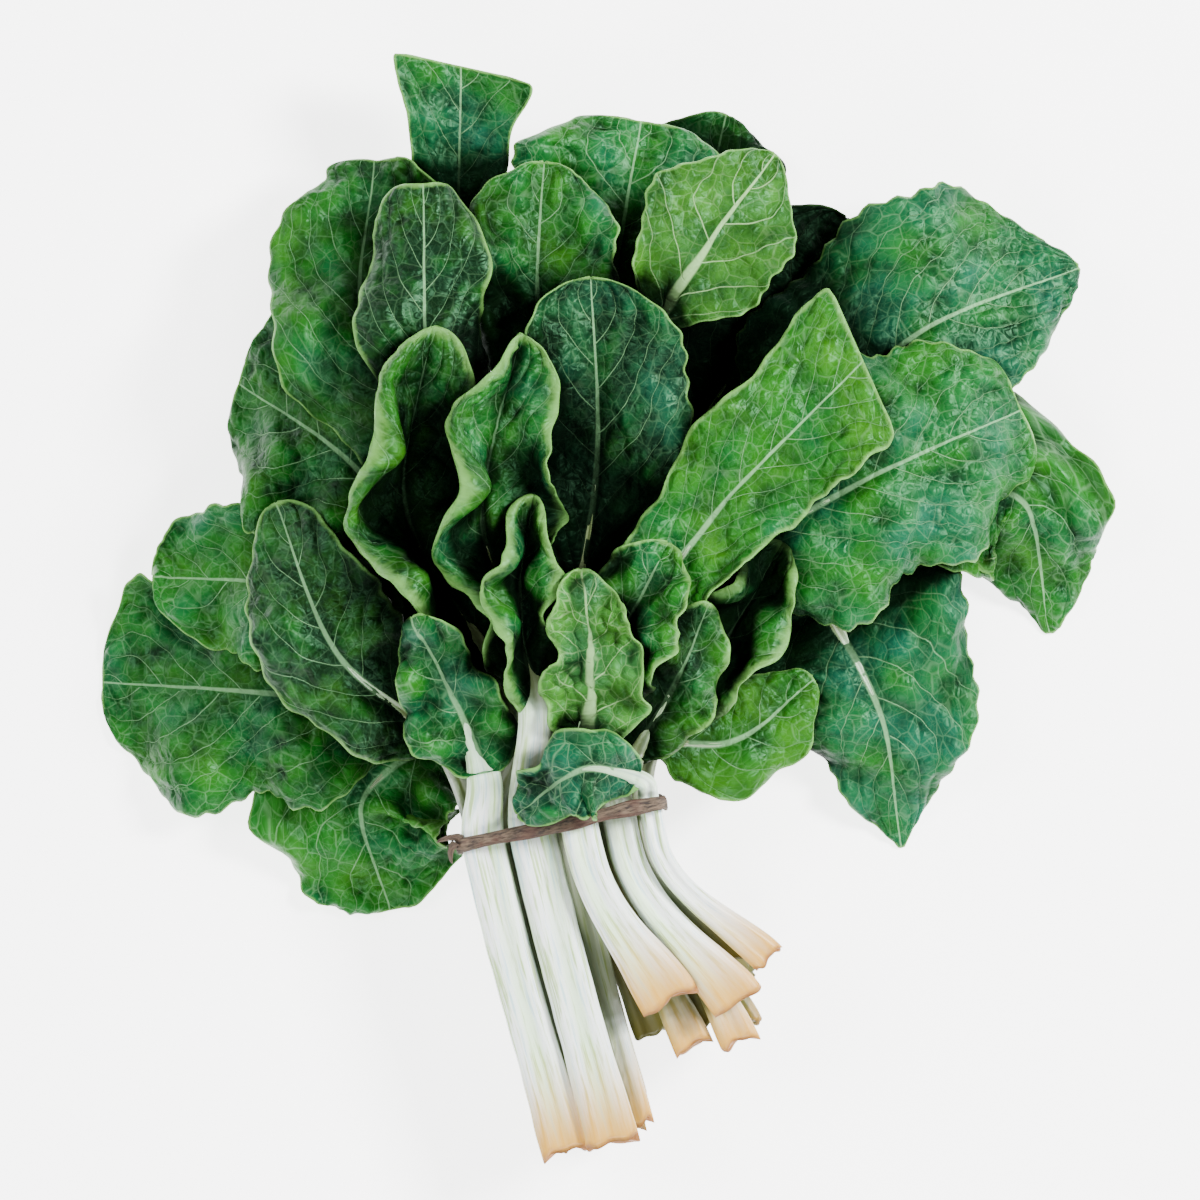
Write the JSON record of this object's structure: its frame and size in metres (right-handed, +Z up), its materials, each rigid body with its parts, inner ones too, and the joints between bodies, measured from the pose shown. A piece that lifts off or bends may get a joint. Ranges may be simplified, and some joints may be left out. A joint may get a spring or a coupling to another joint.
{
  "type": "spinach bunch",
  "caption": "Tied bunch of leafy greens lying flat, with broad crinkled green leaves fanned out above a brown tie and pale cut stalks below it.",
  "frame": {"origin": "on the table under the middle of the tie, on the tie's flat underside", "axes": "+Z up from the table, +Y the way the leaves point, along the bunch's longest extent, +X to the right seen from above with the leaves pointing away"},
  "size_m": [0.3056, 0.3306, 0.0872],
  "materials": {
    "leaf_deep": "satin, deep green leaf with paler veins",
    "leaf_middle": "satin, mid green leaf with paler veins",
    "leaf_bright": "satin, bright yellow-green leaf with paler veins",
    "leaf_pale": "matte, pale underside of a leaf",
    "stalk": "satin, pale green-white ribbed stalk, tan at its cut end",
    "tie": "matte, mottled brown fibrous band"
  },
  "bodies": {
    "root": {"lower_left_blade": "leaf_middle", "lower_left_stalk": "stalk", "left_low_blade": "leaf_middle", "left_low_stalk": "stalk", "right_low_blade": "leaf_middle", "right_low_stalk": "stalk", "right_far_blade": "leaf_bright", "right_far_stalk": "stalk", "top_back_blade": "leaf_middle", "top_back_stalk": "stalk", "left_middle_blade": "leaf_middle", "left_middle_stalk": "stalk", "top_tall_blade": "leaf_middle", "top_tall_stalk": "stalk", "top_middle_back_blade": "leaf_middle", "top_middle_back_stalk": "stalk", "right_dark_blade": "leaf_deep", "right_dark_stalk": "stalk", "right_top_blade": "leaf_middle", "right_top_stalk": "stalk", "left_blade": "leaf_middle", "left_stalk": "stalk", "upper_left_blade": "leaf_middle", "upper_left_stalk": "stalk", "top_middle_blade": "leaf_middle", "top_middle_stalk": "stalk", "top_pale_blade": "leaf_pale", "top_pale_stalk": "stalk", "right_middle_blade": "leaf_middle", "right_middle_stalk": "stalk", "low_right_blade": "leaf_bright", "low_right_stalk": "stalk", "left_front_blade": "leaf_bright", "left_front_stalk": "stalk", "dome_blade": "leaf_bright", "dome_stalk": "stalk", "cup_outer_blade": "leaf_middle", "cup_outer_stalk": "stalk", "centre_dark_blade": "leaf_deep", "centre_dark_stalk": "stalk", "right_front_blade": "leaf_middle", "right_front_stalk": "stalk", "cup_inner_blade": "leaf_deep", "cup_inner_stalk": "stalk", "diagonal_blade": "leaf_bright", "diagonal_stalk": "stalk", "right_inner_blade": "leaf_middle", "right_inner_stalk": "stalk", "front_left_blade": "leaf_middle", "front_left_stalk": "stalk", "cup_small_blade": "leaf_middle", "cup_small_stalk": "stalk", "front_crumpled_blade": "leaf_middle", "front_crumpled_stalk": "stalk", "front_pale_blade": "leaf_pale", "front_pale_stalk": "stalk", "tucked_blade": "leaf_middle", "tucked_stalk": "stalk", "tie": "tie"}
  },
  "joints": []
}
